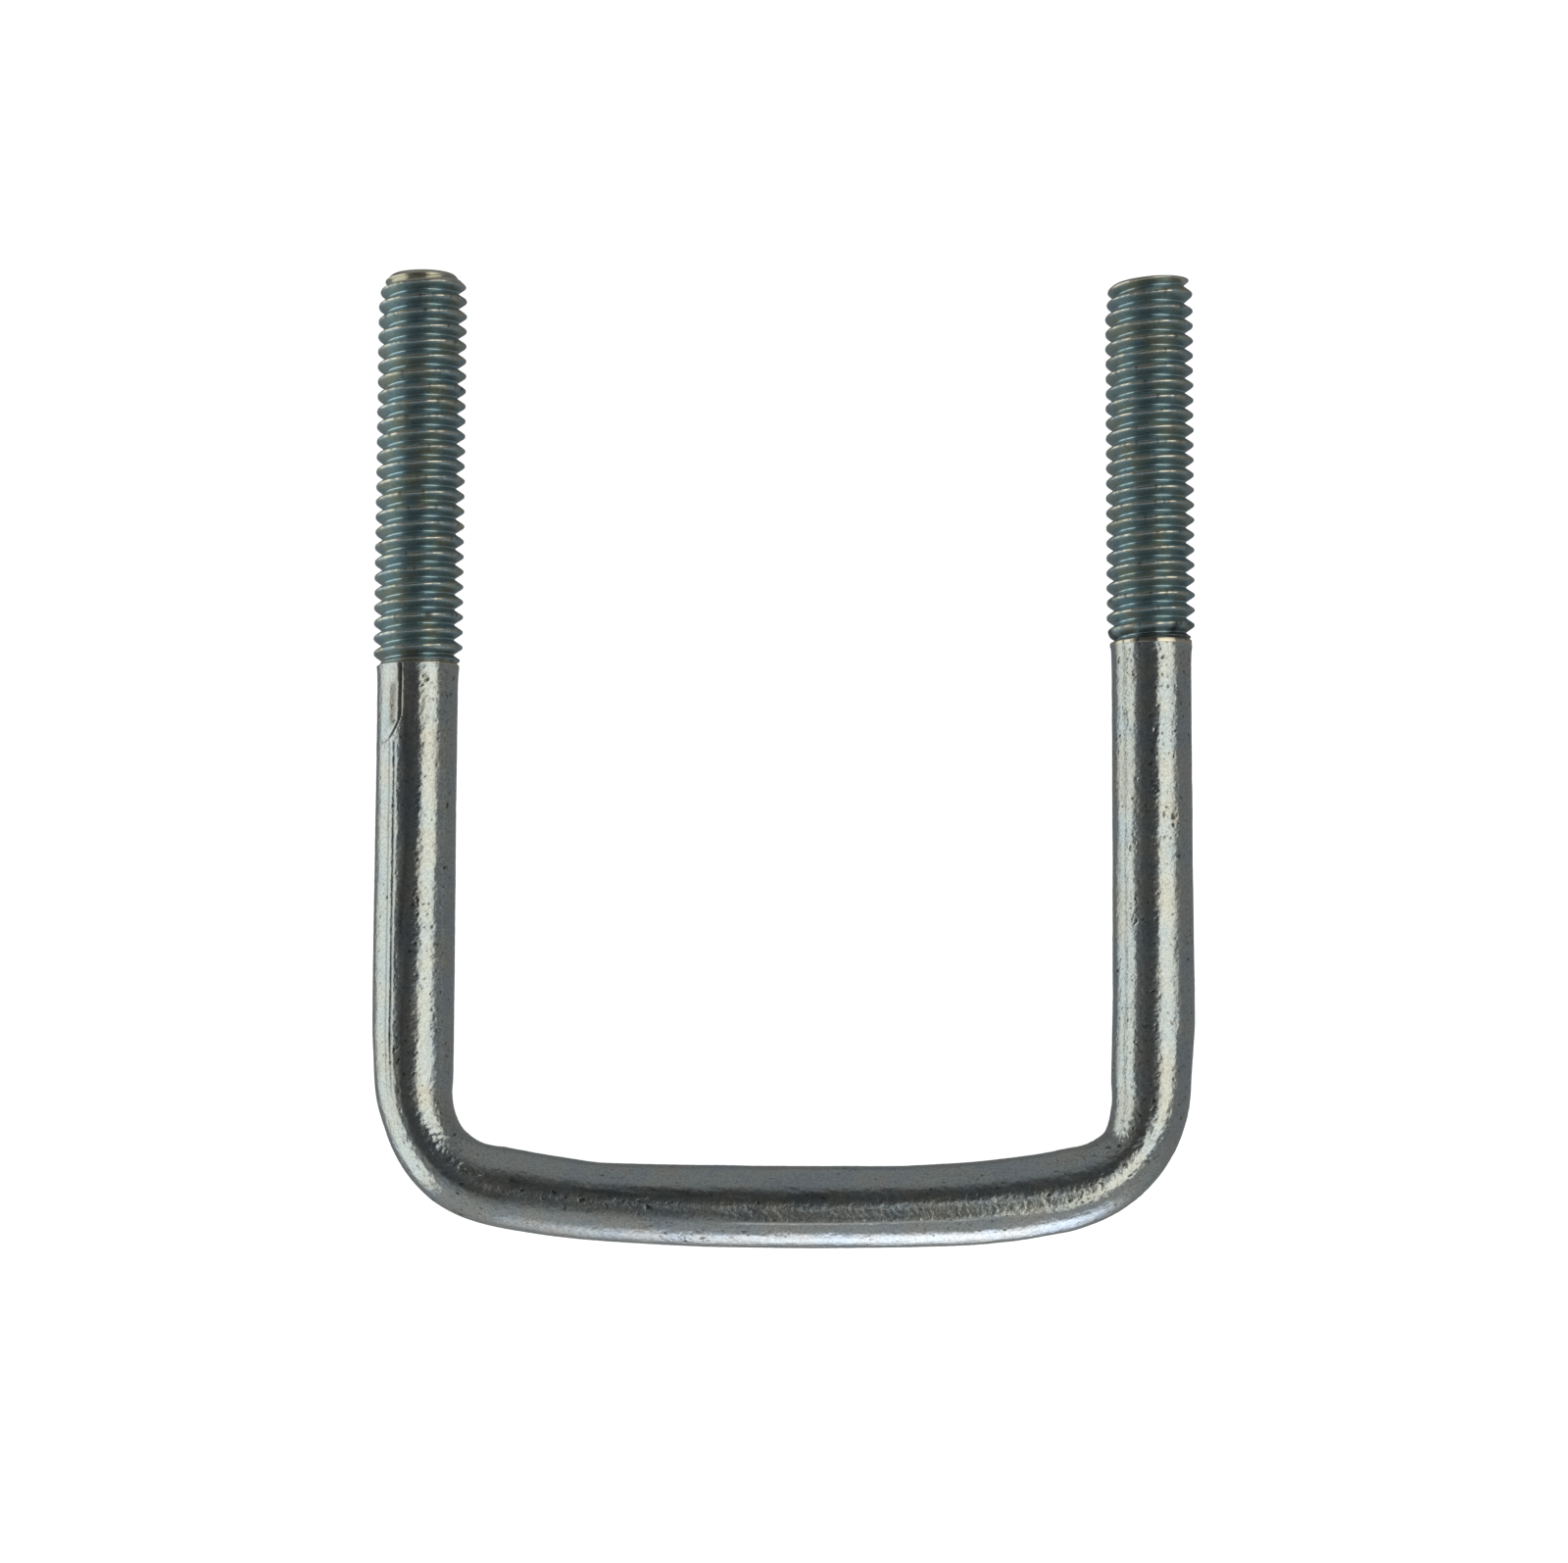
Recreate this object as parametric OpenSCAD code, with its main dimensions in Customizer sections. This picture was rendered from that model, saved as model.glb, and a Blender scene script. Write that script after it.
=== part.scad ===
// U-bolt: one steel rod with a thread rolled on each end and two bends, so that it holds a bar or a
// tube against a plate. It lies flat, with its legs along +Y and its crosspiece at the -Y end. The
// origin is under the middle of its outline, on the surface that it lies on. Each stretch of the rod
// is a solid of its own, and neighbours meet face to face.

/* [Overall] */
// Overall length, from the tips to the outside of the crosspiece
length = 63.5; // [45:0.5:120]
// Distance between the two leg axes
leg_spacing = 48; // [30:1:100]

/* [Rod] */
// Diameter of the plain rod, which is the pitch diameter of the thread rolled on it
rod_d = 5.25; // [4:0.05:7]
// Radius of each bend, to the rod's axis
bend_r = 7.1; // [4.5:0.1:10]
// Radius of the crosspiece's outward bow, to the rod's axis
bow_r = 165; // [90:5:400]
// Extra diameter of the collar that the rolling dies left where they stopped
collar_extra = 0.15; // [0.05:0.05:0.4]
// Length over which that collar tapers down to the rod
collar_l = 1; // [0.4:0.1:3]

/* [Thread] */
// Distance from one crest to the next
pitch = 1; // [0.8:0.05:1.25]
// Length of the left thread, from the tip
left_thread_l = 26; // [8:0.5:31]
// Length of the right thread, from the tip
right_thread_l = 24.2; // [8:0.5:31]
// Chamfer on the left tip, which was turned
left_chamfer = 0.8; // [0.2:0.05:1.2]
// Chamfer on the right tip, which was only sheared
right_chamfer = 0.25; // [0.1:0.05:1.2]

/* [Hidden] */
fine = 96;

// Metric thread form: 60 degree flanks, a crest an eighth of the pitch wide and a root a sixth wide.
// Rolling moves as much steel out into the crests as it presses down from the roots.
flank_angle = 30;
root_half = pitch / 12;
crest_half = pitch / 16;
thread_depth = (pitch / 2 - root_half - crest_half) / tan(flank_angle);

rod_r = rod_d / 2;
collar_r = rod_r + collar_extra / 2;
thread_r = rod_r + thread_depth / 2;
root_r = thread_r - thread_depth;
leg_x = leg_spacing / 2;
tip_y = length / 2;
// The threads rest on the surface, and the rod's axis lies level with theirs.
axis_z = thread_r;

// The crosspiece is an arc of bow_r that spans bow_angle on each side of the middle. Each bend is
// tangent to it and to its leg.
bow_y = bow_r + rod_r - length / 2;
bow_angle = asin((leg_x - bend_r) / (bow_r - bend_r));
bend_x = leg_x - bend_r;
bend_y = bow_y - (bow_r - bend_r) * cos(bow_angle);

// The cutter that leaves the groove reaches past the crests, and takes enough steps in a turn for its
// outer edge, which is made of straight chords, to stay outside them.
cutter_over = crest_half;
cutter_half = root_half + (thread_depth + cutter_over) * tan(flank_angle);
turn_steps = 3 + ceil(180 / acos(thread_r / (thread_r + cutter_over)));
// The groove's last part of a turn climbs out of the rod, as the rolling dies leave it.
run_out = 0.75;
run_out_lift = thread_depth + cutter_over;
// Cone at 45 degrees between the end of the thread and the collar.
shoulder_l = thread_r - collar_r;

// Arc of rod about (x, y), of radius r to the rod's axis, from angle start through sweep.
module rod_arc(x, y, r, start, sweep) {
  translate([x, y, axis_z]) rotate_extrude(start = start, angle = sweep, $fn = fine)
    translate([r, 0]) circle(r = rod_r, $fn = fine);
}

// Plain leg from its bend up to its thread, turned about its axis, with the collar's taper at the top.
module plain_leg(x, thread_l) {
  top = tip_y - thread_l - bend_y;
  translate([x, bend_y, axis_z]) rotate([-90, 0, 0]) rotate_extrude($fn = fine)
    polygon([[0, 0], [rod_r, 0], [rod_r, top - collar_l], [collar_r, top], [0, top]]);
}

// One section of the groove cutter, at step k of its helix: its narrow root side, then its wide side.
function cutter_ring(k, climb_from) =
  let (
    turn = k / turn_steps,
    lift = max(0, (k - climb_from) / (run_out * turn_steps)) * run_out_lift,
    r = [root_r, root_r, thread_r + cutter_over, thread_r + cutter_over],
    up = [-root_half, root_half, cutter_half, -cutter_half]
  )
  [for (i = [0:3]) [
    (r[i] + lift) * cos(-360 * turn),
    (r[i] + lift) * sin(-360 * turn),
    up[i] - pitch * turn
  ]];

// Helical cutter that starts a turn above z = 0, works down to thread_l and climbs out at its end.
module groove_cutter(thread_l) {
  climb_from = round((thread_l / pitch - run_out) * turn_steps);
  last = climb_from + ceil(run_out * turn_steps);
  points = [for (k = [-turn_steps:last]) each cutter_ring(k, climb_from)];
  end = len(points) - 4;
  start_cap = [[0, 2, 1], [0, 3, 2]];
  end_cap = [[end, end + 1, end + 2], [end, end + 2, end + 3]];
  walls = [for (k = [0:4:end - 4], i = [0:3])
    let (a = k + i, b = k + (i + 1) % 4)
    each [[a, b, b + 4], [a, b + 4, a + 4]]];
  polyhedron(points = points, faces = concat(start_cap, walls, end_cap), convexity = 10);
}

// Threaded end of one leg: a chamfered blank, turned about its axis, with the groove cut into it.
module threaded_end(x, thread_l, chamfer) {
  crests_end = shoulder_l - thread_l;
  translate([x, tip_y, axis_z]) rotate([-90, 0, 0]) difference() {
    rotate_extrude($fn = fine) polygon([
      [0, -thread_l], [collar_r, -thread_l], [thread_r, crests_end],
      [thread_r, -chamfer], [thread_r - chamfer, 0], [0, 0]
    ]);
    groove_cutter(-crests_end);
  }
}

module crosspiece() {
  color("#7f8688") rod_arc(0, bow_y, bow_r, 270 - bow_angle, 2 * bow_angle);
}

module left_bend() {
  color("#8a9294") rod_arc(-bend_x, bend_y, bend_r, 180, 90 - bow_angle);
}

module right_bend() {
  color("#8a9294") rod_arc(bend_x, bend_y, bend_r, 270 + bow_angle, 90 - bow_angle);
}

module left_leg() {
  color("#9aa19f") plain_leg(-leg_x, left_thread_l);
}

module right_leg() {
  color("#9aa19f") plain_leg(leg_x, right_thread_l);
}

module left_thread() {
  color("#6f9298") threaded_end(-leg_x, left_thread_l, left_chamfer);
}

module right_thread() {
  color("#6f9298") threaded_end(leg_x, right_thread_l, right_chamfer);
}

crosspiece();
left_bend();
right_bend();
left_leg();
right_leg();
left_thread();
right_thread();
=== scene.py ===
# %% [markdown]
# # A zinc-plated U-bolt, piece by piece
# The object is one length of drawn steel rod with a thread rolled on each end and two bends put in
# afterwards. The CAD holds its sizes. Here every surface that shows is made again as a numpy grid,
# fine enough to carry the marks of drawing, rolling, bending and plating.

# %% Load the frame
import bpy
import numpy as np
from mathutils import Euler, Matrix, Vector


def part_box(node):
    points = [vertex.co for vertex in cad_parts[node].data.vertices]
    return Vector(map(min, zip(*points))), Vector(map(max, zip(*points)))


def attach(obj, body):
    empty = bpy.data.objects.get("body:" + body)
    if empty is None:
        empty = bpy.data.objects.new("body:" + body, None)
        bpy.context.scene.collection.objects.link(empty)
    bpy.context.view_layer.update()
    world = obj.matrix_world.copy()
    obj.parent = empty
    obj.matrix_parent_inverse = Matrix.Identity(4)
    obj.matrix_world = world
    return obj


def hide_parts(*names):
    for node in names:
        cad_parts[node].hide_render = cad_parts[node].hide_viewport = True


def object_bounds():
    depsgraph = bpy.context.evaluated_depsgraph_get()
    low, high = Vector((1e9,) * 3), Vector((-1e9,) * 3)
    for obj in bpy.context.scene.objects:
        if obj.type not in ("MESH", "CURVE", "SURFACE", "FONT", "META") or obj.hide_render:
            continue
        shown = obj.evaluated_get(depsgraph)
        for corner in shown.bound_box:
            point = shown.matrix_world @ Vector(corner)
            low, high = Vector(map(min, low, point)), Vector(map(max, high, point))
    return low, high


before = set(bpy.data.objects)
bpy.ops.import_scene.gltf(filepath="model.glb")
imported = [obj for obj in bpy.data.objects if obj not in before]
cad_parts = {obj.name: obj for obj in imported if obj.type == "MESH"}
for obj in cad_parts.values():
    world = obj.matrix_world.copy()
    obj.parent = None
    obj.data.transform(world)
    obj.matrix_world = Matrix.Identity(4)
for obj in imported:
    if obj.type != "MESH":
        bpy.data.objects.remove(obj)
cad_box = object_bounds()
MM = 0.001
print("CAD box in mm:", [[round(v / MM, 2) for v in corner] for corner in cad_box])

# %% [markdown]
# ## Sizes from the CAD
# A rod is known by its axis and its radius. The axis of each leg runs down the middle of its thread's
# box, and that box starts where the plain rod ends, so these are read from the CAD nodes. A box can't
# tell the rod's own radius, because each leg widens beside its thread, nor the radii of the bent
# axis, so those three are written here as the CAD has them.

# %% Read the sizes


def node_box(name):
    """Lowest and highest corner of a CAD node, in millimetres."""
    return np.array(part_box(name)) / MM


leg_low = node_box("left_leg")[0]
left_low, left_high = node_box("left_thread")
right_low = node_box("right_thread")[0]
LEG_X = -(left_low[0] + left_high[0]) / 2
AXIS_Z = (left_low[2] + left_high[2]) / 2
THREAD_R = (left_high[0] - left_low[0]) / 2
TIP_Y = left_high[1]
LEFT_START = left_low[1]
RIGHT_START = right_low[1]
ROD_R = 2.625
BEND_Y = leg_low[1]
BEND_R = 7.1
BOW_R = 165.0
print("leg at", round(LEG_X, 3), "axis height", round(AXIS_Z, 3), "thread radius", round(THREAD_R, 3))
print("threads start at", round(LEFT_START, 2), round(RIGHT_START, 2), "and end at", round(TIP_Y, 2))

# %% [markdown]
# ## The camera
# The object lies flat and is seen almost straight from above, from 24 centimetres. The eye stands a
# little to the left of the middle and towards the bow, and the frame is turned by half a degree. The
# lens is long enough to keep the perspective slight.

# %% Place the camera
EYE_FROM_MIDDLE = np.array([-8.03, -25.19, 235.45])
EYE_TURN = np.radians([5.739, -1.925, 0.447])
SENSOR_WIDTH = 36
LENS = 83.34
middle = (np.array(cad_box[0]) + np.array(cad_box[1])) / 2
camera_data = bpy.data.cameras.new("camera")
camera_data.sensor_width = SENSOR_WIDTH
camera_data.lens = LENS
camera_data.clip_start = 0.01
camera = bpy.data.objects.new("camera", camera_data)
camera.location = middle + EYE_FROM_MIDDLE * MM
camera.rotation_mode = "ZYX"
camera.rotation_euler = Euler(EYE_TURN, "ZYX")
bpy.context.scene.collection.objects.link(camera)
bpy.context.scene.camera = camera
print("camera at", [round(v / MM, 1) for v in camera.location])

# %% [markdown]
# ## A closed skin from a grid
# Both the rod and the threads are rings of points carried along an axis. The grid's first direction
# runs along the axis and the second runs round it, so one helper can join the rings into faces, close
# both ends with a pole in the middle, and lay a flat map on the surface for a texture. Two numbers
# ride along with each point for the materials: one for wear, where the metal is rubbed bright, which
# under zero paints a highlight into the thread's roots, and stain, where dirt or thin plate darkens it.

# %% Grid to mesh
POLE_SHARE = 0.01


def skin(name, rings, marks, stain, normals=None):
    """A closed mesh from rings[i, j], point j of ring i, counted so that the faces look outward.

    Ring i joins ring i + 1 with quads, and the first and last ring close on their own middle point.
    The map's u is the share of the way along the rings, and its v the share of the way round.
    Wear, which also carries a painted highlight in the thread's roots, and stain hold one number a point
    and become attributes. The normals hold one direction a point, so that the shading of one piece runs
    on into the next.
    """
    count, around = rings.shape[:2]
    poles = np.array([rings[0].mean(0), rings[-1].mean(0)])
    points = np.concatenate([rings.reshape(-1, 3), poles]) * MM
    i, j = np.meshgrid(np.arange(count - 1), np.arange(around), indexing="ij")
    k = (j + 1) % around
    quads = np.stack([i * around + j, i * around + k, (i + 1) * around + k, (i + 1) * around + j], -1)
    turn = np.arange(around)
    following = (turn + 1) % around
    first = np.stack([following, turn, np.full(around, count * around)], -1)
    last_row = (count - 1) * around
    last = np.stack([last_row + turn, last_row + following, np.full(around, count * around + 1)], -1)
    corners = np.concatenate([quads.ravel(), first.ravel(), last.ravel()])
    quad_starts = np.arange(quads.size // 4) * 4
    fan_starts = quads.size + np.arange(2 * around) * 3
    mesh = bpy.data.meshes.new(name)
    mesh.vertices.add(len(points))
    mesh.vertices.foreach_set("co", points.ravel())
    mesh.loops.add(len(corners))
    mesh.loops.foreach_set("vertex_index", corners.astype(np.int32))
    mesh.polygons.add(len(quad_starts) + len(fan_starts))
    mesh.polygons.foreach_set("loop_start", np.concatenate([quad_starts, fan_starts]).astype(np.int32))
    mesh.update(calc_edges=True)
    mesh.shade_smooth()
    u = np.stack([i, i, i + 1, i + 1], -1) / (count - 1) * (1 - 2 * POLE_SHARE) + POLE_SHARE
    v = np.stack([j, j + 1, j + 1, j], -1) / around
    fan_v = np.stack([turn + 1, turn, turn + 0.5], -1) / around
    fan_u = np.array([POLE_SHARE, POLE_SHARE, 0.0])
    places_u = np.concatenate([u.ravel(), np.tile(fan_u, around), np.tile(1 - fan_u, around)])
    places_v = np.concatenate([v.ravel(), fan_v.ravel(), 1 - fan_v[::-1].ravel()])
    flat_map = mesh.uv_layers.new(name="OFBake")
    flat_map.uv.foreach_set("vector", np.stack([places_u, places_v], -1).astype(np.float32).ravel())
    for field_name, values in (("marks", marks), ("stain", stain)):
        field = mesh.attributes.new(field_name, "FLOAT", "POINT")
        field.data.foreach_set("value", np.append(values.ravel(), [0, 0]).astype(np.float32))
    if normals is not None:
        along = np.array([rings[0].mean(0) - rings[1].mean(0), rings[-1].mean(0) - rings[-2].mean(0)])
        along /= np.linalg.norm(along, axis=1, keepdims=True)
        sides = normals.reshape(-1, 3)[quads.ravel()]
        caps = np.repeat(along, around * 3, axis=0)
        mesh.normals_split_custom_set(np.concatenate([sides, caps]).tolist())
    piece = bpy.data.objects.new(name, mesh)
    bpy.context.scene.collection.objects.link(piece)
    print(name, "has", len(points), "points and", quads.size // 2 + 2 * around, "triangles")
    return piece


# %% [markdown]
# ## The axis of the bent rod
# The axis comes down the left leg, turns through the bend, follows the shallow bow and goes up the
# right leg. It is sampled at equal steps, and at each point the direction that looks away from the
# middle of the U is kept, because the section isn't the same on the inner and the outer side. The
# steps are fine enough for small pits to be real geometry.

# %% Walk along the axis
BEND_X = LEG_X - BEND_R
BOW_Y = BEND_Y + np.sqrt((BOW_R - BEND_R) ** 2 - BEND_X ** 2)
BOW_ANGLE = np.arcsin(BEND_X / (BOW_R - BEND_R))
STEP = 0.078
AROUND = 212


def arc(centre, radius, start, end, count):
    """Points on a circle, from one angle to another, and the outward direction at each."""
    angle = np.linspace(start, end, count)
    outward = np.stack([np.cos(angle), np.sin(angle)], -1)
    return np.array(centre) + radius * outward, outward


def leg_line(side, top, count):
    """Points straight down a leg's axis, and the direction away from the other leg."""
    y = np.linspace(top, BEND_Y, count)
    outward = np.tile([side, 0.0], (count, 1))
    return np.stack([np.full(count, side * LEG_X), y], -1), outward


bend_turn = np.pi / 2 - BOW_ANGLE
spans = {
    "left_leg": LEFT_START - BEND_Y,
    "left_bend": BEND_R * bend_turn,
    "crosspiece": 2 * BOW_R * BOW_ANGLE,
    "right_bend": BEND_R * bend_turn,
    "right_leg": RIGHT_START - BEND_Y,
}
counts = {name: int(span / STEP) + 1 for name, span in spans.items()}
turn_in = -np.pi / 2 - BOW_ANGLE
left_down = leg_line(-1, LEFT_START, counts["left_leg"])
right_down = leg_line(1, RIGHT_START, counts["right_leg"])
paths = {
    "left_leg": left_down,
    "left_bend": arc((-BEND_X, BEND_Y), BEND_R, -np.pi, turn_in, counts["left_bend"]),
    "crosspiece": arc((0, BOW_Y), BOW_R, turn_in, -np.pi / 2 + BOW_ANGLE, counts["crosspiece"]),
    "right_bend": arc((BEND_X, BEND_Y), BEND_R, -np.pi / 2 + BOW_ANGLE, 0, counts["right_bend"]),
    "right_leg": (right_down[0][::-1], right_down[1][::-1]),
}
names = list(paths)
axis = np.concatenate([paths[names[0]][0]] + [paths[n][0][1:] for n in names[1:]])
outward = np.concatenate([paths[names[0]][1]] + [paths[n][1][1:] for n in names[1:]])
ends = np.cumsum([0] + [counts[n] - 1 for n in names])
travelled = np.concatenate([[0], np.cumsum(np.linalg.norm(np.diff(axis, axis=0), axis=1))])
print("axis is", round(travelled[-1], 1), "mm long, in", len(axis), "rings")

# %% [markdown]
# ## The section
# Bending stretches the outer side of a rod and squeezes the inner one, so the section grows thinner
# in the plane of the bend and a little fuller across it, and the tools leave the bow a trace flatter
# in its middle and fuller beside the bends. So the outer and the inner half of the section each
# follow a smooth line along the axis, through sizes chosen at a few places.

# %% Shape the section


def hump(distance, reach):
    """1 at distance 0, falling as a squared cosine to 0 at the reach."""
    return np.cos(np.clip(distance / reach, -1, 1) * np.pi / 2) ** 2


def smooth(low, high, value):
    """0 below low, 1 above high, and an S-shaped rise between."""
    share = np.clip((value - low) / (high - low), 0, 1)
    return share * share * (3 - 2 * share)


BEND_REACH = 6.5
BLUR_MM = 0.9
BEND_SWELL = 0.04
left_mid = (travelled[ends[1]] + travelled[ends[2]]) / 2
right_mid = (travelled[ends[3]] + travelled[ends[4]]) / 2
in_bend = hump(travelled - left_mid, BEND_REACH) + hump(travelled - right_mid, BEND_REACH)


def along_rod(left, right):
    """A half-thickness that follows chosen places, given as distance from a bend's middle and size.

    Distances count down the left leg and on towards the right tip. Straight runs between the places
    are blurred by a bell curve over a millimetre, so that no corner shows.
    """
    places = [left_mid + d for d, _ in left] + [right_mid + d for d, _ in right]
    values = np.interp(travelled, places, [size for _, size in left + right])
    reach = int(BLUR_MM / STEP)
    bell = np.hanning(2 * reach + 1)
    padded = np.pad(values, reach, mode="edge")
    return np.convolve(padded, bell / bell.sum(), mode="valid")


outer_half = along_rod(
    [(-12, 2.59), (-8.5, 2.58), (-5.2, 2.39), (-2.9, 2.18), (0, 2.37), (1.5, 2.43), (4.3, 2.34),
     (7.5, 2.52), (10, 2.59), (23, 2.60)],
    [(-19, 2.63), (-15, 2.72), (-11, 2.82), (-8, 2.77), (-5.2, 2.56), (-3.5, 2.42), (0, 2.38),
     (3, 2.39), (5.2, 2.44), (7.5, 2.60), (9, 2.72), (13, 2.70), (20, 2.64), (30, 2.62)])
inner_half = along_rod(
    [(-20, 2.62), (-12, 2.66), (-5.2, 2.67), (-2.6, 2.42), (-0.4, 2.25), (1.7, 2.40), (4.2, 2.80),
     (5.4, 2.76), (7, 2.63), (10.7, 2.40), (14.7, 2.54), (19, 2.65), (23, 2.67)],
    [(-19, 2.63), (-15, 2.51), (-10, 2.52), (-6.5, 2.64), (-4.4, 2.78), (-3.2, 2.70), (-1.7, 2.41),
     (0.4, 2.08), (2.6, 2.47), (5.2, 2.73), (7.5, 2.68), (11, 2.60), (20, 2.57)])
height_half = ROD_R + BEND_SWELL * in_bend
print("thickness in the bends", round((outer_half + inner_half).min(), 2), "mm")

# %% [markdown]
# ## Marks of making
# The rod was drawn through a die, so it has faint ridges along its length. Rust and scale that were
# pickled away before plating left pits, and the zinc went over them. Bending roughens the surface
# into a fine orange peel. A bump in the material could fake them, but heights on the grid are real
# geometry. They are noise blurred by a bell curve, long and narrow for the die's ridges and round for
# the peel and the pits. A pit opens where its noise passes a threshold, which is lower in clusters.
# All is worked out once for the whole rod, so that it runs on across the five pieces.

# %% Make the relief
DIE_RIDGE = 0.0050
DIE_WAVE = 0.0032
DIE_SCORE = 0.0026
PEEL_HEIGHT = 0.0030
PEEL_IN_BENDS = 0.7
PIT_DEPTH = 0.018
CRATER_DEPTH = 0.009
random = np.random.default_rng(11)
angle = np.arange(AROUND) * 2 * np.pi / AROUND
along, round_the_rod = np.meshgrid(travelled, angle, indexing="ij")


def grain(length, width):
    """Seeded noise with patches of this length along and width round the rod, in mm, with spread 1.

    White noise is blurred by a bell curve, through its Fourier transform.
    """
    white = random.standard_normal(along.shape)
    waves_along = np.fft.fftfreq(along.shape[0], STEP)[:, None]
    waves_round = np.fft.rfftfreq(AROUND, 2 * np.pi * ROD_R / AROUND)[None]
    keep = np.exp(-((waves_along * length) ** 2 + (waves_round * width) ** 2) * 3)
    blurred = np.fft.irfft2(np.fft.rfft2(white) * keep, along.shape)
    return blurred / blurred.std()


def near(value, centre, reach):
    """A bell curve of height 1 about the centre."""
    return np.exp(-(((value - centre) / reach) ** 2))


across = np.degrees(round_the_rod)
bends = in_bend[:, None]
peel = grain(0.22, 0.22)
relief = DIE_RIDGE * grain(9, 0.8) + DIE_WAVE * grain(2.6, 0.6) + DIE_SCORE * grain(0.8, 0.26)
relief += PEEL_HEIGHT * peel * (1 + PEEL_IN_BENDS * bends)
left_leg_y = LEFT_START - along
on_left = along < travelled[ends[1]]
right_leg_y = RIGHT_START - (travelled[-1] - along)
on_right = along > travelled[ends[4]]

on_crosspiece = (along > travelled[ends[2]]) * (along < travelled[ends[3]])
clusters = grain(3.0, 1.0)
pit_noise = grain(0.20, 0.15)
rare = 1.95 - 0.40 * clusters + 0.30 * on_crosspiece
rare = rare - 0.45 * on_right * near(across, 74, 26) - 0.35 * on_left * near(across, 97, 12)
rare = rare - 0.4 * on_right * near(right_leg_y, RIGHT_START - 1.2, 1.2)
pits = np.clip((pit_noise - rare) / 0.8, 0, 1)
edge_noise = grain(0.42, 0.34)
craters = near(edge_noise, 1.25, 0.10) * smooth(-0.2, 0.8, clusters)
relief -= PIT_DEPTH * pits + CRATER_DEPTH * craters
print("pits cover", round(100 * float((pits > 0.2).mean()), 2), "percent")

# %% [markdown]
# ## The overlap, the seams and the scratch
# On the left leg a sliver of metal was rolled flat on the surface. It runs down from the thread to a
# rounded end, with a hollow in it, and two fine seams go on below. On the crosspiece a tool drew up
# one long ridge. Each is a bell curve or an S-shaped step in the angle round the rod, cut off along
# its length, and a slow wander keeps its edges from being ruled lines. Film is a dull streak in the
# plate. Stain gathers all that darkens the metal, and shine is the rubbed top of the ridge.

# %% Add the overlap, the seams and the scratch
LAP_HEIGHT = 0.030
LAP_RIDGE_HEIGHT = 0.012
LAP_GROOVE_DEPTH = 0.040
HOLLOW_DEPTH = 0.065
SEAM_DEPTH = 0.034
SCRATCH_HEIGHT = 0.045
wander = 0.6 * grain(4, 4)
lap_end = 0.70 + 1.6 * np.clip((across - 31) / 38, 0, 1.1) ** 3
lap_inside = np.minimum((69 + 0.5 * wander - across) * ROD_R * np.pi / 180, left_leg_y - lap_end)
in_lap = smooth(-0.03, 0.06, lap_inside) * smooth(28, 46, across) * on_left
lap_groove = near(lap_inside, -0.06, 0.06) * smooth(26, 34, across) * on_left
lap_ridge = near(lap_inside, 0.20, 0.06) * smooth(40, 56, across) * on_left
hollow = near(across, 57.5 + 2 * wander, 6) * smooth(1.5, 1.9, left_leg_y) * smooth(4.8, 4.2, left_leg_y)
hollow = hollow * on_left
seams = near(across, 51.5 + 0.35 * wander, 1.2) + near(across, 60.5 + 0.35 * wander, 1.4)
seams = seams * smooth(0.9, 0.5, left_leg_y) * smooth(-24, -19, left_leg_y)
seams = seams * (along < travelled[ends[2]])
scratch_x = axis[:, 0][:, None]
scratch_place = across + 0.4 * wander
scratch = smooth(65.6, 68.0, scratch_place) * smooth(82, 68, scratch_place)
scratch = scratch * smooth(-5, -2, scratch_x) * smooth(15, 13, scratch_x) * on_crosspiece
shine = scratch * smooth(0.2, 0.8, scratch) * near(scratch_place, 67.2, 1.3)
relief += LAP_HEIGHT * in_lap + LAP_RIDGE_HEIGHT * lap_ridge + SCRATCH_HEIGHT * scratch
relief -= LAP_GROOVE_DEPTH * lap_groove + HOLLOW_DEPTH * hollow + SEAM_DEPTH * seams
left_film = near(across, 77, 11) * (along < travelled[ends[2]])
cross_film = near(across, 107, 9) * on_crosspiece * smooth(18, -14, scratch_x)
film = (0.22 * left_film + 0.30 * cross_film) * np.clip(1 + 0.5 * grain(3, 0.3), 0, 2)
stain = 0.8 * pits + 0.55 * craters + 0.55 * hollow + 0.6 * seams + 0.6 * lap_groove + film
stain = np.clip(stain, 0, 0.9)
print("relief runs from", round(relief.min(), 3), "to", round(relief.max(), 3), "mm")

# %% [markdown]
# ## The rod's surface
# A point of the surface lies on an ellipse about the axis: its outward part is the cosine of the
# angle round the rod and its upward part the sine. The relief then moves it along the same direction.
# Next to each thread the rolling pushed up a small lip, which dies away down the leg. The normals are
# worked out on the whole rod before it is cut into pieces, so that no shading seam shows at the cuts.

# %% Build the rod
LIP_HEIGHT = 0.07
LIP_REACH = 0.45
cosine = np.cos(round_the_rod)
sine = np.sin(round_the_rod)
lip = np.exp((left_leg_y - LEFT_START) / LIP_REACH) * on_left
lip = lip + np.exp((right_leg_y - RIGHT_START) / LIP_REACH) * on_right
extra = relief + LIP_HEIGHT * lip
half_out = np.where(cosine > 0, outer_half[:, None], inner_half[:, None]) + extra
half_up = height_half[:, None] + extra
reach_out = half_out * cosine
rod = np.empty(along.shape + (3,))
rod[..., 0] = axis[:, 0][:, None] + outward[:, 0][:, None] * reach_out
rod[..., 1] = axis[:, 1][:, None] + outward[:, 1][:, None] * reach_out
rod[..., 2] = AXIS_Z + half_up * sine
down_the_rod = np.gradient(rod, axis=0)
wrapped = np.concatenate([rod[:, -1:], rod, rod[:, :1]], axis=1)
round_it = (wrapped[:, 2:] - wrapped[:, :-2]) / 2
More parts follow.
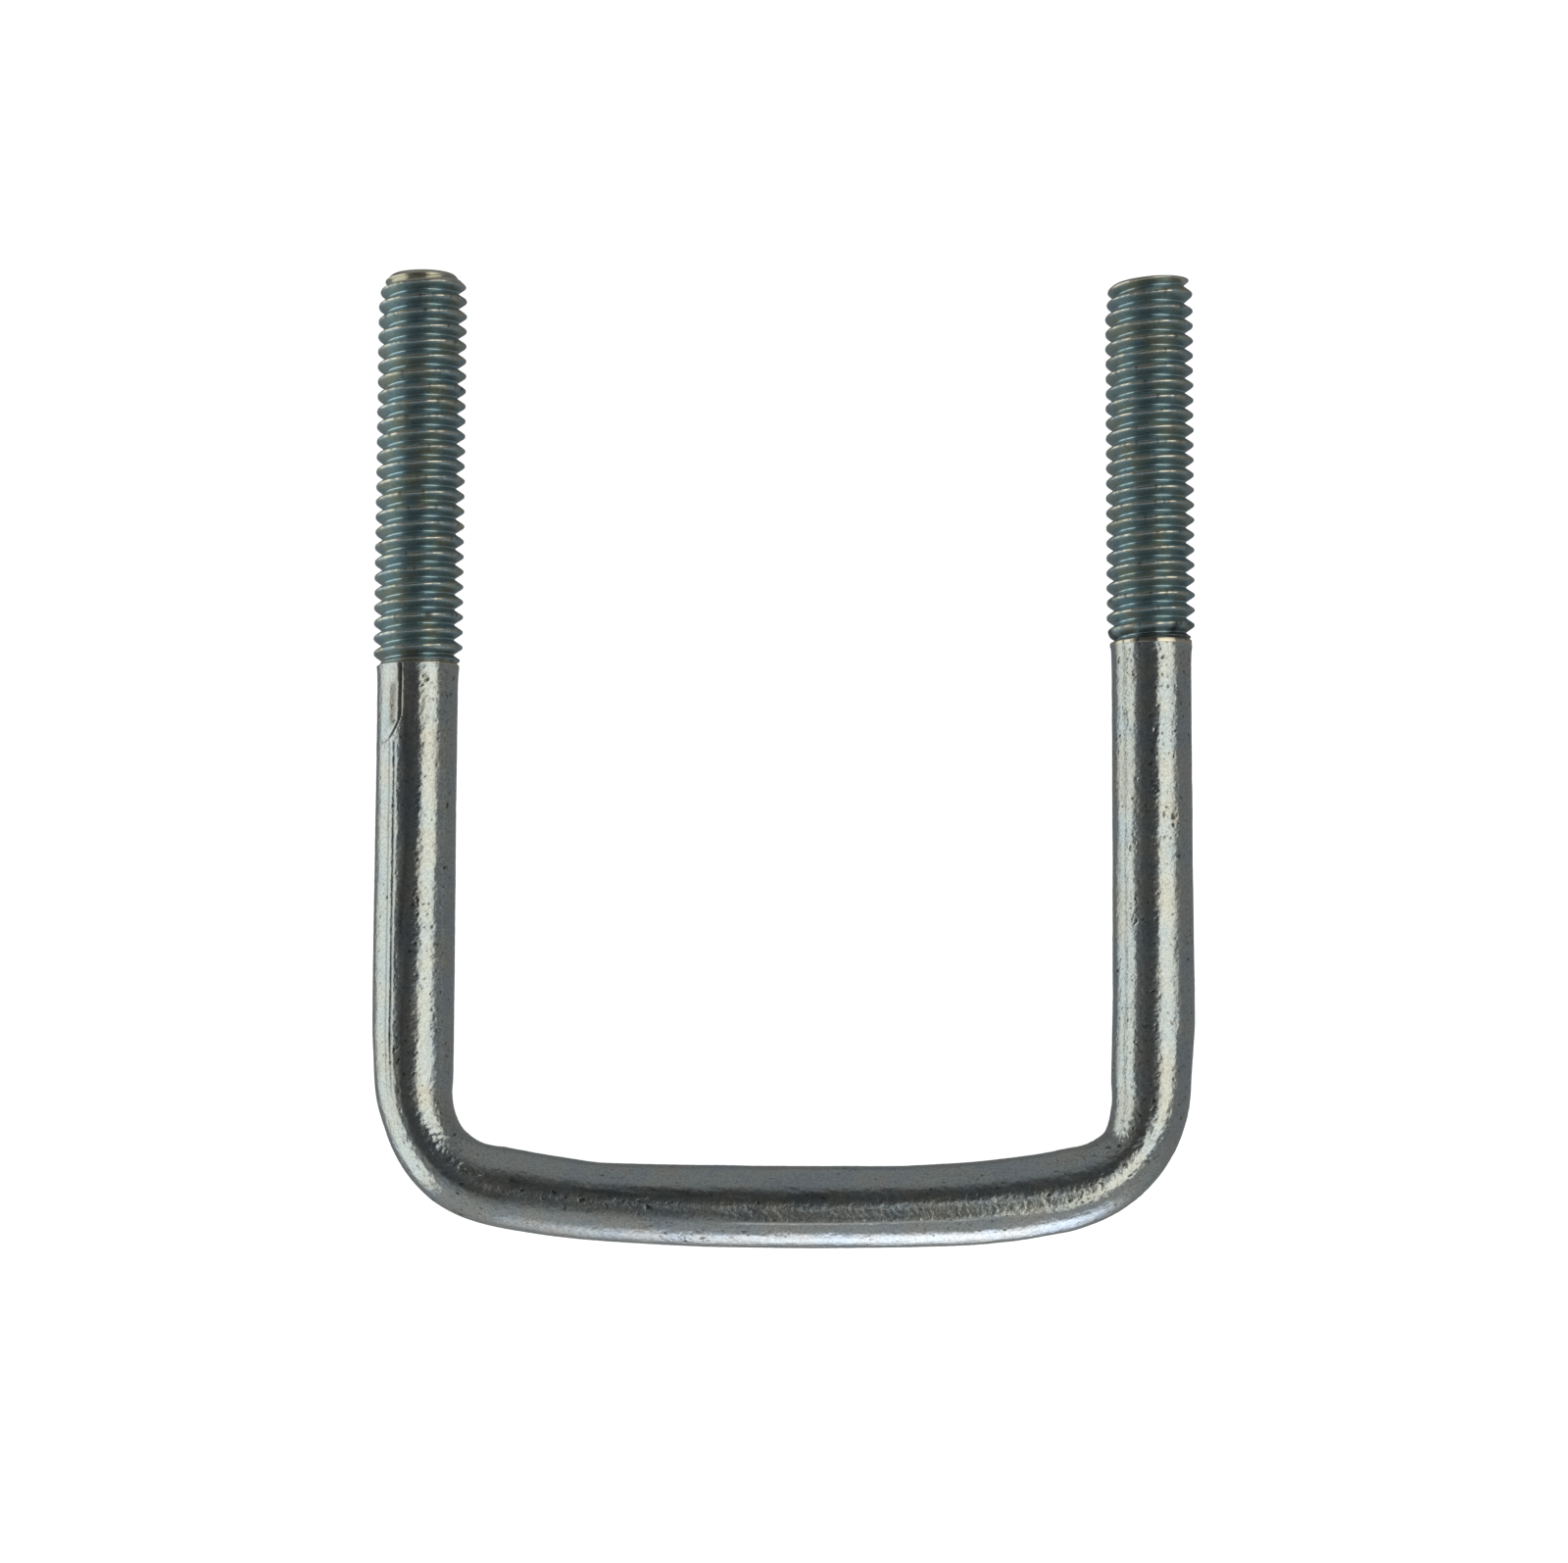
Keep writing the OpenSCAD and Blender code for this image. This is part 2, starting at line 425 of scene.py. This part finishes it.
rod_normals = np.cross(down_the_rod, round_it)
rod_normals /= np.linalg.norm(rod_normals, axis=-1, keepdims=True)
pieces = {}
for number, name in enumerate(names):
    rows = slice(ends[number], ends[number + 1] + 1)
    pieces[name] = skin(name + "_skin", rod[rows, ::-1], shine[rows, ::-1], stain[rows, ::-1],
                        rod_normals[rows, ::-1])

# %% [markdown]
# ## The rolled threads
# A thread is a helix, but its surface is easier as a height: for each place along the axis and each
# angle round it, the distance from the nearest crest gives the radius. That is a grid of two
# parameters again, with no boolean. Rolling leaves the crests uneven, so noise along the helix wears
# them, and at the inner end the groove fades out on the rod's own radius. A Screw modifier could turn
# a profile into the helix too, but it couldn't run out or be worn.

# %% Thread profile
PITCH = 1.0
DEPTH = 0.6134 * PITCH
CREST_HALF = 0.0625 * PITCH
ROOT_START = 0.47 * PITCH
FLANK = (ROOT_START - CREST_HALF) / DEPTH
CREST_ROUND = 0.045
ROOT_ROUND = 0.05
HELIX_VALUES = 9000
print("thread pitch", PITCH, "and depth", round(DEPTH, 3), "mm")


def soft_larger(a, b, width):
    """The larger of two values, with the corner between them rounded over the width.

    It is half the sum of both values and the root of their squared difference plus the squared width.
    """
    return (a + b + np.sqrt((a - b) ** 2 + width ** 2)) / 2


def thread_depth(from_crest):
    """Depth below the crest at this distance from it: flat, a straight flank, a narrow root."""
    straight = (from_crest - CREST_HALF) / FLANK
    crest_round = soft_larger(straight, 0, CREST_ROUND)
    return -soft_larger(-crest_round, -DEPTH, ROOT_ROUND)


def helix_noise(turns, seed, length):
    """Smooth seeded noise along the helix: one value each length of a turn, S-shaped steps between."""
    values = np.random.default_rng(seed).standard_normal(HELIX_VALUES)
    place = (turns + 4) / length
    whole = np.floor(place).astype(int)
    share = place - whole
    share = share * share * (3 - 2 * share)
    return values[whole] * (1 - share) + values[whole + 1] * share


# %% [markdown]
# ## Two different tips
# The left tip was turned to a 45 degree chamfer before rolling. The right one was only sheared off,
# a little slanted, and keeps a thin burr. Both end faces close on a pole. The crests are rubbed
# bright in broken dashes, a sky-blue highlight is painted into each root, and dirt sits in the last
# groove beside the rod.

# %% Build a threaded end
THREAD_AROUND = 128
RINGS_A_PITCH = 25
FACE_SHARES = np.array([0.985, 0.95, 0.85, 0.65, 0.4, 0.15])
FACE_DROPS = np.array([-0.012, -0.03, -0.035, -0.03, -0.02, -0.02])


def threaded_end(name, side, start, first_crest, chamfer, slant, lift, gap, taper, rust, seed):
    """Rings of a right-hand thread about a leg's axis.

    The helix climbs by one pitch a turn: the crest lies where the height, in pitches, less the angle,
    in turns, is whole. Near the tip the radius is held under a cone that opens at 45 degrees.
    The thread begins a gap above the start, where the plain rod ends. Taper thins the last turns,
    slant and lift tilt and raise the end face, and rust is how dark the run-out is.
    """
    rows = int((TIP_Y - start) / PITCH * RINGS_A_PITCH)
    height = np.linspace(start, TIP_Y, rows)
    angle = np.linspace(-np.pi, np.pi, THREAD_AROUND, endpoint=False)
    y, turn = np.meshgrid(height, angle, indexing="ij")
    in_turns = (y - first_crest) / PITCH - turn / (2 * np.pi)
    from_crest = np.abs(in_turns - np.round(in_turns)) * PITCH
    crest_turns = np.round(in_turns) + turn / (2 * np.pi) + 40
    wear = 0.012 * helix_noise(crest_turns, seed, 0.016) + 0.014 * helix_noise(crest_turns, seed + 1, 0.11)
    crest_worn = np.clip(0.02 + wear, 0, 0.08) * near(from_crest, 0, 0.11)
    radius = THREAD_R - thread_depth(from_crest) - crest_worn
    above_rod = y - start - gap - 0.08 * np.sin(turn)
    raised = ROD_R + 0.05 + (THREAD_R - ROD_R - 0.05) * smooth(0.05, 0.6 + 2 * gap, above_rod)
    threaded = -soft_larger(-radius, -raised, 0.05) - 0.15 * near(above_rod, 0.08, 0.10)
    radius = ROD_R + 0.06 + (threaded - ROD_R - 0.06) * smooth(-0.08, 0.04, above_rod)
    radius = radius - taper * (0.6 - 0.4 * np.sin(turn)) * smooth(TIP_Y - 2.2, TIP_Y - 0.7, y)
    to_tip = TIP_Y - y
    cone = THREAD_R - chamfer + to_tip
    radius = -soft_larger(-radius, -cone, 0.06)
    broken = np.clip(0.55 + 0.55 * helix_noise(crest_turns, seed + 2, 0.012), 0, 1)
    # The first term is the crests rubbed bright; the minus term paints a sky-blue highlight line into each
    # root.
    burnish = near(from_crest, 0, 0.065) * broken - 0.9 * near(from_crest, PITCH / 2, 0.04)
    bare = smooth(0.04, -0.08, above_rod) + 0.75 * smooth(TIP_Y - chamfer - 0.20, TIP_Y - chamfer + 0.10, y)
    burnish = burnish * (1 - bare) + bare
    blotches = np.clip(0.8 + 0.8 * helix_noise(crest_turns, seed + 3, 0.03), 0, 1.2)
    stain = rust * blotches * smooth(-0.25, -0.05, above_rod) * smooth(1.15, 0.75, above_rod)
    chipped = smooth(1.1, 1.9, helix_noise(crest_turns, seed + 4, 0.010)) * near(from_crest, 0, 0.16)
    stain = np.clip(stain + 0.6 * chipped + 0.10, 0, 0.9)
    face_r = radius[-1] * FACE_SHARES[:, None]
    face_y = np.full_like(face_r, TIP_Y) + FACE_DROPS[:, None]
    radius = np.concatenate([radius, face_r])
    burnish = np.concatenate([burnish, np.full_like(face_r, 0.5)])
    stain = np.concatenate([stain, np.full_like(face_r, 0.2)])
    y = np.concatenate([y, face_y])
    turn = np.concatenate([turn, np.tile(angle, (len(FACE_SHARES), 1))])
    x = radius * np.sin(turn)
    z = radius * np.cos(turn)
    near_tip = smooth(TIP_Y - 1.6, TIP_Y, y)
    y = y - (slant * (1 - x / THREAD_R) / 2 - lift) * near_tip
    rings = np.stack([side * LEG_X + x, y, AXIS_Z + z], -1)
    return skin(name, rings, burnish, stain)


pieces["left_thread"] = threaded_end(
    "left_thread_skin", side=-1, start=LEFT_START, first_crest=0.84, chamfer=0.80,
    slant=0.10, lift=0.02, gap=0.12, taper=0.14, rust=0.22, seed=5)
pieces["right_thread"] = threaded_end(
    "right_thread_skin", side=1, start=RIGHT_START, first_crest=0.72, chamfer=0.28,
    slant=0.50, lift=0.29, gap=0.34, taper=0.16, rust=0.50, seed=9)

# %% [markdown]
# ## Materials
# The rod is low-carbon steel with electroplated zinc and a clear blue chromate. Zinc gives a bright
# grey metal, the chromate adds patches of blue and straw, and the pits hold brown stain. Two small
# helpers come first: one for colours, and one that adds any kind of node.

# %% Colour and node helpers


def linear(hex_colour):
    """sRGB hex to linear red, green, blue and alpha, by the sRGB curve and its straight foot."""
    values = np.array([int(hex_colour[i:i + 2], 16) for i in (0, 2, 4)]) / 255
    values = np.where(values <= 0.04045, values / 12.92, ((values + 0.055) / 1.055) ** 2.4)
    return (*values, 1.0)


def add(tree, kind, links=None, **settings):
    """Adds one node. Links maps an input to another node's output, or to a plain value."""
    node = tree.nodes.new(kind)
    for key, value in settings.items():
        setattr(node, key, value)
    for key, value in (links or {}).items():
        if isinstance(value, bpy.types.NodeSocket):
            tree.links.new(value, node.inputs[key])
        else:
            node.inputs[key].default_value = value
    return node


print("zinc grey is", [round(float(part), 3) for part in linear("D2D5D0")[:3]], "in linear light")

# %% [markdown]
# ## Zinc plate
# The plate follows the steel under it, so the drawn rod is smooth and shows lamps as long stripes,
# and the rolled thread is duller and bluer, with bright rubbed crests. One function makes both. A
# slow noise moves the tint between three colours of the chromate, and the roughness with it. A fine
# noise gives the speckle and the bump of the zinc's grain. Real grains are a few micrometres wide,
# too fine to show, so they are drawn 0.16 mm wide.

# %% Mix the zinc plate
GRAIN_MM = 0.16
GRIME = "60605C"
BROWN_STAIN = "43382A"


def zinc_plate(name, tints, marked, rough, polished, patch_mm, bump_mm):
    """Electroplated zinc: metal whose tint drifts between three tints, with a fine crystal grain.

    Wear above zero brings in the first colour, of rubbed metal, and under zero the second, a painted
    highlight. Both also bring the polished roughness. Stain is mixed over all of them.
    """
    material = bpy.data.materials.new(name)
    material.use_nodes = True
    tree = material.node_tree
    tree.nodes.clear()
    place = add(tree, "ShaderNodeTexCoord").outputs["Object"]
    marks = add(tree, "ShaderNodeAttribute", attribute_name="marks").outputs["Fac"]
    patches = add(tree, "ShaderNodeTexNoise", {"Vector": place, "Scale": 1 / (patch_mm * MM), "Detail": 3.0})
    tint = add(tree, "ShaderNodeValToRGB", {"Fac": patches.outputs["Fac"]})
    ramp = tint.color_ramp
    ramp.elements[0].position = 0.36
    ramp.elements[0].color = linear(tints[0])
    ramp.elements[1].position = 0.64
    ramp.elements[1].color = linear(tints[2])
    ramp.elements.new(0.5).color = linear(tints[1])
    fine = add(tree, "ShaderNodeTexNoise", {"Vector": place, "Scale": 1 / (GRAIN_MM * MM), "Detail": 3.0})
    speckle = add(tree, "ShaderNodeMapRange", {
        "Value": fine.outputs["Fac"], "From Min": 0.3, "From Max": 0.6, "To Min": 0.35, "To Max": 0.0})
    colour = add(tree, "ShaderNodeMix", {
        0: speckle.outputs[0], 6: tint.outputs["Color"], 7: linear(GRIME)}, data_type="RGBA").outputs[2]
    # Under zero the wear attribute paints a sky-blue highlight line into the thread's roots; over zero it is
    # rubbed, worn metal.
    below = add(tree, "ShaderNodeMath", {0: marks, 1: -1.0}, operation="MULTIPLY", use_clamp=True).outputs[0]
    above = add(tree, "ShaderNodeMath", {0: marks, 1: 1.0}, operation="MULTIPLY", use_clamp=True).outputs[0]
    colour = add(tree, "ShaderNodeMix", {
        0: above, 6: colour, 7: linear(marked[0])}, data_type="RGBA").outputs[2]
    colour = add(tree, "ShaderNodeMix", {
        0: below, 6: colour, 7: linear(marked[1])}, data_type="RGBA").outputs[2]
    stained = add(tree, "ShaderNodeAttribute", attribute_name="stain").outputs["Fac"]
    colour = add(tree, "ShaderNodeMix", {
        0: stained, 6: colour, 7: linear(BROWN_STAIN)}, data_type="RGBA").outputs[2]
    dull = add(tree, "ShaderNodeMapRange", {
        "Value": patches.outputs["Fac"], "From Min": 0.3, "From Max": 0.7,
        "To Min": rough - 0.03, "To Max": rough + 0.04}).outputs["Result"]
    size = add(tree, "ShaderNodeMath", {0: marks}, operation="ABSOLUTE").outputs[0]
    dull = add(tree, "ShaderNodeMapRange", {"Value": size, "To Min": dull, "To Max": polished}).outputs[0]
    bump = add(tree, "ShaderNodeBump", {
        "Height": fine.outputs["Fac"], "Distance": bump_mm * MM, "Strength": 1.0})
    metal = add(tree, "ShaderNodeBsdfPrincipled", {
        "Base Color": colour, "Metallic": 1.0, "Roughness": dull,
        "Normal": bump.outputs["Normal"]})
    add(tree, "ShaderNodeOutputMaterial", {"Surface": metal.outputs["BSDF"]})
    return material


# On the drawn rod the eye meets a pale, almost neutral metal with crisp stripes and a fine grain.
rod_zinc = zinc_plate(
    "zinc_on_drawn_steel", tints=("C9D1D4", "D2D5D0", "D5D3CA"), marked=("F2F2EC", "F2F2EC"),
    rough=0.18, polished=0.12, patch_mm=2.6, bump_mm=0.012)
# On the rolled thread it meets soft blue flanks, straw-coloured crests and a painted sky-blue highlight in
# the roots.
thread_zinc = zinc_plate(
    "zinc_on_rolled_thread", tints=("A8BFC6", "B0C3C4", "BCC1B4"), marked=("F4EAD4", "CFEAF2"),
    rough=0.42, polished=0.10, patch_mm=1.6, bump_mm=0.008)
print("materials:", rod_zinc.name, "and", thread_zinc.name)

# %% [markdown]
# ## The pieces in the frame
# The bolt has no joint, so every piece rides on the root body. Each one stands for the CAD node of its
# own name. It takes one of two slots, so that the finish of the plain rod and of the threads can be
# changed apart.

# %% Ride, replace and dress
for name, piece in pieces.items():
    threaded = name.endswith("thread")
    piece.data.materials.append(thread_zinc if threaded else rod_zinc)
    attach(piece, "root")
    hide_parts(name)
print(len(pieces), "pieces ride on the root body")

# %% [markdown]
# ## The floor
# The floor is a plain sheet of matt white paper, which gives the eye nothing to look at. A little glow
# of its own makes it white without a strong lamp. It is left out of reflections, because a polished
# rod would mirror it all along its lower half and lose its dark bands.

# %% Floor
FLOOR_HALF = 12.0
PAPER_GLOW = 0.88
floor_mesh = bpy.data.meshes.new("floor")
floor_mesh.from_pydata(
    [(-FLOOR_HALF, -FLOOR_HALF, 0), (FLOOR_HALF, -FLOOR_HALF, 0),
     (FLOOR_HALF, FLOOR_HALF, 0), (-FLOOR_HALF, FLOOR_HALF, 0)], [], [(0, 1, 2, 3)])
floor = bpy.data.objects.new("floor", floor_mesh)
floor.location.z = cad_box[0][2]
bpy.context.scene.collection.objects.link(floor)
paper = bpy.data.materials.new("white_paper")
paper.use_nodes = True
tree = paper.node_tree
tree.nodes.clear()
matt = add(tree, "ShaderNodeBsdfDiffuse", {"Color": linear("E6E6E6")})
glow = add(tree, "ShaderNodeEmission", {"Color": linear("FFFFFF"), "Strength": PAPER_GLOW})
both = add(tree, "ShaderNodeAddShader", {0: matt.outputs[0], 1: glow.outputs[0]})
add(tree, "ShaderNodeOutputMaterial", {"Surface": both.outputs[0]})
floor_mesh.materials.append(paper)
floor.visible_glossy = False
floor.visible_shadow = False
print("floor is", 2 * FLOOR_HALF, "m wide")

# %% [markdown]
# ## The backdrop
# A low view sees past the floor to the room. A white ring of the same paper stands round the bolt, so
# that the background stays plain. Only the camera sees it: it gives no light and no reflection.

# %% Backdrop
BACKDROP_SIDES = 64
BACKDROP_RADIUS = 3.0
BACKDROP_HEIGHT = 2.0
turn = np.linspace(0.0, 2.0 * np.pi, BACKDROP_SIDES, endpoint=False)
rim = BACKDROP_RADIUS * np.stack([np.cos(turn), np.sin(turn)], axis=1)
foot = np.column_stack([rim, np.full(BACKDROP_SIDES, cad_box[0][2])])
head = np.column_stack([rim, np.full(BACKDROP_SIDES, BACKDROP_HEIGHT)])
here = np.arange(BACKDROP_SIDES)
following = (here + 1) % BACKDROP_SIDES
walls = np.stack([here, here + BACKDROP_SIDES, following + BACKDROP_SIDES, following], axis=1)
backdrop_mesh = bpy.data.meshes.new("backdrop")
backdrop_mesh.from_pydata(np.vstack([foot, head]).tolist(), [], walls.tolist())
backdrop_mesh.materials.append(paper)
backdrop = bpy.data.objects.new("backdrop", backdrop_mesh)
bpy.context.scene.collection.objects.link(backdrop)
backdrop.visible_diffuse = False
backdrop.visible_glossy = False
backdrop.visible_transmission = False
backdrop.visible_shadow = False
print("backdrop ring:", BACKDROP_SIDES, "sides,", BACKDROP_RADIUS, "m in radius")

# %% [markdown]
# ## Light panels
# A polished rod shows each lamp as a stripe, and the lamp's edges decide where the stripe ends. An area
# lamp has hard edges, so each lamp here is a sheet whose glow fades out towards its sides. The sheets
# are otherwise clear, so they may overlap, and only the bolt and the paper see them. The key hangs
# wide on the right and a small one over the right bend. One stands on the left, and a low one in
# front of the crosspiece. All sizes are in millimetres.

# %% Light panels


def panel(name, centre, across, along, colour, strength, fade):
    """A soft light panel: a flat sheet given by its centre and two half-sides, in millimetres.

    Its glow falls to nothing as an S-shaped curve over the fade, a share of the half-side, at each
    edge. The fade gives the low and the high end of across first, and then those of along.
    """
    centre, across, along = np.array(centre), np.array(across), np.array(along)
    corners = [centre - across - along, centre + across - along, centre + across + along,
               centre - across + along]
    mesh = bpy.data.meshes.new(name)
    mesh.from_pydata([tuple(c * MM) for c in corners], [], [(0, 1, 2, 3)])
    sheet_map = mesh.uv_layers.new(name="sheet")
    sheet_map.uv.foreach_set("vector", np.array([-1, -1, 1, -1, 1, 1, -1, 1], np.float32))
    sheet = bpy.data.objects.new(name, mesh)
    bpy.context.scene.collection.objects.link(sheet)
    glow_material = bpy.data.materials.new(name + "_glow")
    glow_material.use_nodes = True
    tree = glow_material.node_tree
    tree.nodes.clear()
    place = add(tree, "ShaderNodeSeparateXYZ", {0: add(tree, "ShaderNodeUVMap", uv_map="sheet").outputs[0]})
    shares = []
    for axis_name, (low_fade, high_fade) in zip("XY", fade):
        rise = add(tree, "ShaderNodeMapRange", {
            "Value": place.outputs[axis_name], "From Min": -1.0, "From Max": -1.0 + low_fade},
            interpolation_type="SMOOTHSTEP")
        fall = add(tree, "ShaderNodeMapRange", {
            "Value": place.outputs[axis_name], "From Min": 1.0, "From Max": 1.0 - high_fade},
            interpolation_type="SMOOTHSTEP")
        product = add(tree, "ShaderNodeMath", {
            0: rise.outputs[0], 1: fall.outputs[0]}, operation="MULTIPLY")
        shares.append(product.outputs[0])
    power = add(tree, "ShaderNodeMath", {0: shares[0], 1: shares[1]}, operation="MULTIPLY")
    scaled = add(tree, "ShaderNodeMath", {0: power.outputs[0], 1: strength}, operation="MULTIPLY")
    light = add(tree, "ShaderNodeEmission", {"Color": linear(colour), "Strength": scaled.outputs[0]})
    clear = add(tree, "ShaderNodeBsdfTransparent")
    both = add(tree, "ShaderNodeAddShader", {0: clear.outputs[0], 1: light.outputs[0]})
    add(tree, "ShaderNodeOutputMaterial", {"Surface": both.outputs[0]})
    mesh.materials.append(glow_material)
    sheet.visible_camera = False
    sheet.visible_shadow = False
    print(name, "is", 2 * np.linalg.norm(across).round(), "by", 2 * np.linalg.norm(along).round(), "mm")


panel("key_panel", centre=(618, 198, 400), across=(532, 415, 0), along=(0, 295, 0),
      colour="FDFDF3", strength=1.08, fade=[(0.10, 1.6), (0.25, 0.12)])
panel("glow_panel", centre=(70, -62, 398), across=(95, 0, 0), along=(0, 64, 0),
      colour="F4FAFF", strength=0.38, fade=[(0.9, 0.9), (0.8, 0.7)])
panel("left_panel", centre=(-260, -60, -36), across=(0, 0, 214), along=(0, 260, 0),
      colour="F4FAF6", strength=0.89, fade=[(0.8, 0.21), (0.3, 0.2)])
panel("front_panel", centre=(20, -95, -26), across=(0, 0, 46), along=(65, 0, 0),
      colour="EAF0FF", strength=1.58, fade=[(1.3, 0.55), (0.98, 0.83)])

# %% [markdown]
# ## Room light
# Between the lamps the rod shows the room. It is dark overhead and paler lower down. A ramp along the
# length of the bolt adds light towards the bow and, much less, towards the tips.

# %% Room light
OVERHEAD = 0.055
LOW_DOWN = 0.185
BOW_TO_TIPS = [(0.0, 0.20), (0.12, 0.17), (0.22, 0.11), (0.32, 0.04), (0.5, 0.03),
               (0.70, 0.0), (0.86, 0.0), (0.89, 0.07), (1.0, 0.075)]
world = bpy.data.worlds.new("room")
bpy.context.scene.world = world
world.use_nodes = True
tree = world.node_tree
tree.nodes.clear()
direction = add(tree, "ShaderNodeTexCoord").outputs["Generated"]
parts = add(tree, "ShaderNodeSeparateXYZ", {0: direction})
level = add(tree, "ShaderNodeMapRange", {
    "Value": parts.outputs["Z"], "From Min": 0.96, "From Max": 0.45,
    "To Min": OVERHEAD, "To Max": LOW_DOWN},
    interpolation_type="SMOOTHSTEP")
share = add(tree, "ShaderNodeMapRange", {"Value": parts.outputs["Y"], "From Min": -1.0, "From Max": 1.0})
sides = add(tree, "ShaderNodeValToRGB", {"Fac": share.outputs[0]})
sides.color_ramp.elements[0].color = (BOW_TO_TIPS[0][1],) * 3 + (1,)
sides.color_ramp.elements[1].color = (BOW_TO_TIPS[-1][1],) * 3 + (1,)
for place, amount in BOW_TO_TIPS[1:-1]:
    sides.color_ramp.elements.new(place).color = (amount,) * 3 + (1,)
total = add(tree, "ShaderNodeMath", {0: level.outputs[0], 1: sides.outputs["Color"]}, operation="ADD")
room = add(tree, "ShaderNodeBackground", {"Color": linear("F0F6FA"), "Strength": total.outputs[0]})
add(tree, "ShaderNodeOutputWorld", {"Surface": room.outputs[0]})
bpy.context.scene.view_settings.view_transform = "Standard"
print("room light ramp has", len(sides.color_ramp.elements), "stops")
